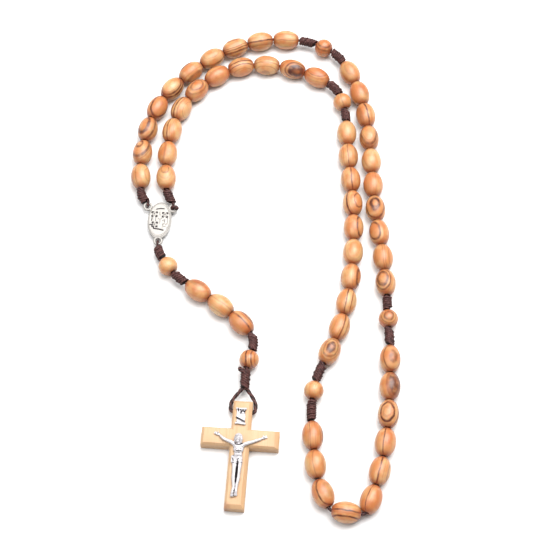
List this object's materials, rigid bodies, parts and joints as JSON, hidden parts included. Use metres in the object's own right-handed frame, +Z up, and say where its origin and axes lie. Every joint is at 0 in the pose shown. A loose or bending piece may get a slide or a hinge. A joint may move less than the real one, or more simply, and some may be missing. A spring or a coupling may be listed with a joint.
{
  "type": "rosary",
  "caption": "Rosary of barrel-shaped olive wood beads on brown knotted cord, with a silver-coloured centre medal and a bevelled wooden crucifix, lying as a doubled loop.",
  "frame": {"origin": "centre of the bounding box on the table that the rosary lies on", "axes": "+X to the right side of the doubled loop, +Y from the cross towards the top arc, +Z up from the table"},
  "size_m": [0.0961, 0.1928, 0.008],
  "materials": {
    "olive_wood": "polished, waxed",
    "cross_wood": "sanded, satin",
    "brown_cord": "twisted waxed thread",
    "old_silver": "antique silver plating, dark in the recesses"
  },
  "bodies": {
    "top_arc": {"hail_mary_beads_1_5_and_6": "olive_wood", "hail_mary_beads_1_8_and_9": "olive_wood", "hail_mary_beads_2_2_and_3": "olive_wood", "hail_mary_beads_5_2_and_3": "olive_wood", "hail_mary_beads_5_5_and_6": "olive_wood", "loop_cord_top_outer": "brown_cord", "loop_cord_top_inner": "brown_cord"},
    "left_strands": {"hail_mary_beads_1_2_and_3": "olive_wood", "hail_mary_beads_5_8_and_9": "olive_wood", "loop_cord_left_outer": "brown_cord", "loop_cord_left_inner": "brown_cord"},
    "medal": {"centre_medal": "old_silver"},
    "pendant_top": {"pendant_cord_top": "brown_cord"},
    "pendant_middle": {"pendant_cord_middle": "brown_cord"},
    "pendant_end": {"pendant_cord_end": "brown_cord"},
    "cross": {"cross": "cross_wood", "corpus": "old_silver", "title_scroll": "old_silver"},
    "right_strands_upper": {"hail_mary_beads_2_5_and_6": "olive_wood", "hail_mary_beads_4_7_and_8": "olive_wood", "loop_cord_right_upper_outer": "brown_cord", "loop_cord_right_upper_inner": "brown_cord"},
    "right_strands_lower": {"hail_mary_beads_2_9_and_10": "olive_wood", "hail_mary_beads_4_2_and_3": "olive_wood", "hail_mary_beads_4_4_and_5": "olive_wood", "loop_cord_right_lower_outer": "brown_cord", "loop_cord_right_lower_inner": "brown_cord"},
    "loop_end": {"hail_mary_beads_3_2_and_3": "olive_wood", "hail_mary_beads_3_4_and_5": "olive_wood", "hail_mary_beads_3_9_and_10": "olive_wood", "loop_cord_turn": "brown_cord"},
    "hail_mary_bead_1_1": {"hail_mary_bead_1_1": "olive_wood"},
    "hail_mary_bead_1_4": {"hail_mary_bead_1_4": "olive_wood"},
    "hail_mary_bead_1_7": {"hail_mary_bead_1_7": "olive_wood"},
    "hail_mary_bead_1_10": {"hail_mary_bead_1_10": "olive_wood"},
    "our_father_bead_1": {"our_father_bead_1": "olive_wood"},
    "hail_mary_bead_2_1": {"hail_mary_bead_2_1": "olive_wood"},
    "hail_mary_bead_2_4": {"hail_mary_bead_2_4": "olive_wood"},
    "hail_mary_bead_2_7": {"hail_mary_bead_2_7": "olive_wood"},
    "hail_mary_bead_2_8": {"hail_mary_bead_2_8": "olive_wood"},
    "our_father_bead_2": {"our_father_bead_2": "olive_wood"},
    "hail_mary_bead_3_1": {"hail_mary_bead_3_1": "olive_wood"},
    "hail_mary_bead_3_6": {"hail_mary_bead_3_6": "olive_wood"},
    "hail_mary_bead_3_7": {"hail_mary_bead_3_7": "olive_wood"},
    "hail_mary_bead_3_8": {"hail_mary_bead_3_8": "olive_wood"},
    "our_father_bead_3": {"our_father_bead_3": "olive_wood"},
    "hail_mary_bead_4_1": {"hail_mary_bead_4_1": "olive_wood"},
    "hail_mary_bead_4_6": {"hail_mary_bead_4_6": "olive_wood"},
    "hail_mary_bead_4_9": {"hail_mary_bead_4_9": "olive_wood"},
    "hail_mary_bead_4_10": {"hail_mary_bead_4_10": "olive_wood"},
    "our_father_bead_4": {"our_father_bead_4": "olive_wood"},
    "hail_mary_bead_5_1": {"hail_mary_bead_5_1": "olive_wood"},
    "hail_mary_bead_5_4": {"hail_mary_bead_5_4": "olive_wood"},
    "hail_mary_bead_5_7": {"hail_mary_bead_5_7": "olive_wood"},
    "hail_mary_bead_5_10": {"hail_mary_bead_5_10": "olive_wood"},
    "our_father_bead_5": {"our_father_bead_5": "olive_wood"},
    "hail_mary_bead_6_1": {"hail_mary_bead_6_1": "olive_wood"},
    "hail_mary_bead_6_2": {"hail_mary_bead_6_2": "olive_wood"},
    "hail_mary_bead_6_3": {"hail_mary_bead_6_3": "olive_wood"},
    "our_father_bead_6": {"our_father_bead_6": "olive_wood"}
  },
  "joints": [
    {"name": "bend_left_strands", "type": "hinge", "parent": "top_arc", "child": "left_strands", "pos_m": [-0.03723, 0.05728, 0.0053], "axis": [-0.9987, 0.0518, 0], "range_deg": [0, 35]},
    {"name": "bend_medal", "type": "hinge", "parent": "left_strands", "child": "medal", "pos_m": [-0.03676, 0.02159, 0.0021], "axis": [-0.9981, 0.061, 0], "range_deg": [0, 40]},
    {"name": "bend_pendant_top", "type": "hinge", "parent": "medal", "child": "pendant_top", "pos_m": [-0.03776, 0.00532, 0.0021], "axis": [-0.9981, 0.061, 0], "range_deg": [0, 40]},
    {"name": "bend_pendant_sideways", "type": "hinge", "parent": "pendant_top", "child": "pendant_middle", "pos_m": [-0.02656, -0.01038, 0.0036], "axis": [0, 0, 1], "range_deg": [-20, 3]},
    {"name": "bend_pendant_end", "type": "hinge", "parent": "pendant_middle", "child": "pendant_end", "pos_m": [-0.0036, -0.02944, 0.0053], "axis": [-0.9231, -0.3846, 0], "range_deg": [0, 35]},
    {"name": "bend_cross", "type": "hinge", "parent": "pendant_end", "child": "cross", "pos_m": [-0.00619, -0.05813, 0.0024], "axis": [-0.9973, 0.0732, 0], "range_deg": [0, 60]},
    {"name": "bend_right_upper", "type": "hinge", "parent": "top_arc", "child": "right_strands_upper", "pos_m": [0.03572, 0.04505, 0.0053], "axis": [-0.9727, 0.2321, 0], "range_deg": [0, 35]},
    {"name": "bend_right_lower", "type": "hinge", "parent": "right_strands_upper", "child": "right_strands_lower", "pos_m": [0.03792, 0.0057, 0.0053], "axis": [-0.9785, 0.206, 0], "range_deg": [0, 35]},
    {"name": "bend_loop_end", "type": "hinge", "parent": "right_strands_lower", "child": "loop_end", "pos_m": [0.03517, -0.03297, 0.0053], "axis": [-0.9925, 0.1225, 0], "range_deg": [0, 35]},
    {"name": "spin_hail_mary_bead_1_1", "type": "hinge", "parent": "left_strands", "child": "hail_mary_bead_1_1", "pos_m": [-0.04459, 0.03264, 0.00359], "axis": [-0.0743, 0.9972, 0.0024], "continuous": true},
    {"name": "spin_hail_mary_bead_1_4", "type": "hinge", "parent": "top_arc", "child": "hail_mary_bead_1_4", "pos_m": [-0.03958, 0.06206, 0.0036], "axis": [0.4315, 0.9021, 0], "continuous": true},
    {"name": "spin_hail_mary_bead_1_7", "type": "hinge", "parent": "top_arc", "child": "hail_mary_bead_1_7", "pos_m": [-0.01949, 0.0841, 0.0036], "axis": [0.8313, 0.5558, 0], "continuous": true},
    {"name": "spin_hail_mary_bead_1_10", "type": "hinge", "parent": "top_arc", "child": "hail_mary_bead_1_10", "pos_m": [0.00885, 0.09266, 0.0036], "axis": [0.9992, -0.0412, 0], "continuous": true},
    {"name": "spin_our_father_bead_1", "type": "hinge", "parent": "top_arc", "child": "our_father_bead_1", "pos_m": [0.02332, 0.08893, 0.0036], "axis": [0.8683, -0.496, 0], "continuous": true},
    {"name": "spin_hail_mary_bead_2_1", "type": "hinge", "parent": "top_arc", "child": "hail_mary_bead_2_1", "pos_m": [0.03313, 0.07763, 0.0036], "axis": [0.4218, -0.9067, 0], "continuous": true},
    {"name": "spin_hail_mary_bead_2_4", "type": "hinge", "parent": "top_arc", "child": "hail_mary_bead_2_4", "pos_m": [0.03965, 0.04896, 0.0036], "axis": [0.0622, -0.9981, 0], "continuous": true},
    {"name": "spin_hail_mary_bead_2_7", "type": "hinge", "parent": "right_strands_upper", "child": "hail_mary_bead_2_7", "pos_m": [0.04115, 0.01937, 0.0036], "axis": [0.0844, -0.9964, 0], "continuous": true},
    {"name": "spin_hail_mary_bead_2_8", "type": "hinge", "parent": "right_strands_upper", "child": "hail_mary_bead_2_8", "pos_m": [0.0422, 0.00956, 0.0036], "axis": [0.1282, -0.9918, 0], "continuous": true},
    {"name": "spin_our_father_bead_2", "type": "hinge", "parent": "right_strands_lower", "child": "our_father_bead_2", "pos_m": [0.04439, -0.02401, 0.0036], "axis": [0.0259, -0.9997, 0], "continuous": true},
    {"name": "spin_hail_mary_bead_3_1", "type": "hinge", "parent": "loop_end", "child": "hail_mary_bead_3_1", "pos_m": [0.04451, -0.0391, 0.0036], "axis": [-0.0167, -0.9999, 0], "continuous": true},
    {"name": "spin_hail_mary_bead_3_6", "type": "hinge", "parent": "loop_end", "child": "hail_mary_bead_3_6", "pos_m": [0.03654, -0.08865, 0.0036], "axis": [-0.356, -0.9345, 0], "continuous": true},
    {"name": "spin_hail_mary_bead_3_7", "type": "hinge", "parent": "loop_end", "child": "hail_mary_bead_3_7", "pos_m": [0.02824, -0.093, 0.0036], "axis": [-0.9923, 0.124, 0], "continuous": true},
    {"name": "spin_hail_mary_bead_3_8", "type": "hinge", "parent": "loop_end", "child": "hail_mary_bead_3_8", "pos_m": [0.02072, -0.08668, 0.0036], "axis": [-0.354, 0.9353, 0], "continuous": true},
    {"name": "spin_our_father_bead_3", "type": "hinge", "parent": "loop_end", "child": "our_father_bead_3", "pos_m": [0.01802, -0.05057, 0.0036], "axis": [0.1949, 0.9808, 0], "continuous": true},
    {"name": "spin_hail_mary_bead_4_1", "type": "hinge", "parent": "loop_end", "child": "hail_mary_bead_4_1", "pos_m": [0.02366, -0.03625, 0.0036], "axis": [0.4276, 0.904, 0], "continuous": true},
    {"name": "spin_hail_mary_bead_4_6", "type": "hinge", "parent": "right_strands_upper", "child": "hail_mary_bead_4_6", "pos_m": [0.03305, 0.01165, 0.0036], "axis": [0.0089, 1, 0], "continuous": true},
    {"name": "spin_hail_mary_bead_4_9", "type": "hinge", "parent": "right_strands_upper", "child": "hail_mary_bead_4_9", "pos_m": [0.03178, 0.04114, 0.0036], "axis": [-0.0598, 0.9982, 0], "continuous": true},
    {"name": "spin_hail_mary_bead_4_10", "type": "hinge", "parent": "top_arc", "child": "hail_mary_bead_4_10", "pos_m": [0.03138, 0.05098, 0.0036], "axis": [-0.0192, 0.9998, 0], "continuous": true},
    {"name": "spin_our_father_bead_4", "type": "hinge", "parent": "top_arc", "child": "our_father_bead_4", "pos_m": [0.02999, 0.06463, 0.0036], "axis": [-0.2734, 0.9619, 0], "continuous": true},
    {"name": "spin_hail_mary_bead_5_1", "type": "hinge", "parent": "top_arc", "child": "hail_mary_bead_5_1", "pos_m": [0.02056, 0.07562, 0.0036], "axis": [-0.8768, 0.4808, 0], "continuous": true},
    {"name": "spin_hail_mary_bead_5_4", "type": "hinge", "parent": "top_arc", "child": "hail_mary_bead_5_4", "pos_m": [-0.00837, 0.08024, 0.0036], "axis": [-0.9678, -0.2516, 0], "continuous": true},
    {"name": "spin_hail_mary_bead_5_7", "type": "hinge", "parent": "top_arc", "child": "hail_mary_bead_5_7", "pos_m": [-0.03059, 0.06155, 0.0036], "axis": [-0.4419, -0.8971, 0], "continuous": true},
    {"name": "spin_hail_mary_bead_5_10", "type": "hinge", "parent": "left_strands", "child": "hail_mary_bead_5_10", "pos_m": [-0.03528, 0.03218, 0.00359], "axis": [0.055, -0.9985, -0.0033], "continuous": true},
    {"name": "spin_our_father_bead_5", "type": "hinge", "parent": "pendant_top", "child": "our_father_bead_5", "pos_m": [-0.03337, -0.00355, 0.00348], "axis": [0.5913, -0.8046, 0.0545], "continuous": true},
    {"name": "spin_hail_mary_bead_6_1", "type": "hinge", "parent": "pendant_middle", "child": "hail_mary_bead_6_1", "pos_m": [-0.02243, -0.01315, 0.0036], "axis": [0.8311, -0.5561, 0], "continuous": true},
    {"name": "spin_hail_mary_bead_6_2", "type": "hinge", "parent": "pendant_middle", "child": "hail_mary_bead_6_2", "pos_m": [-0.01435, -0.01894, 0.0036], "axis": [0.7908, -0.6121, 0], "continuous": true},
    {"name": "spin_hail_mary_bead_6_3", "type": "hinge", "parent": "pendant_middle", "child": "hail_mary_bead_6_3", "pos_m": [-0.00702, -0.0256, 0.0036], "axis": [0.6855, -0.7281, 0], "continuous": true},
    {"name": "spin_our_father_bead_6", "type": "hinge", "parent": "pendant_end", "child": "our_father_bead_6", "pos_m": [-0.00414, -0.03924, 0.00361], "axis": [-0.2593, -0.9658, 0.0026], "continuous": true}
  ]
}
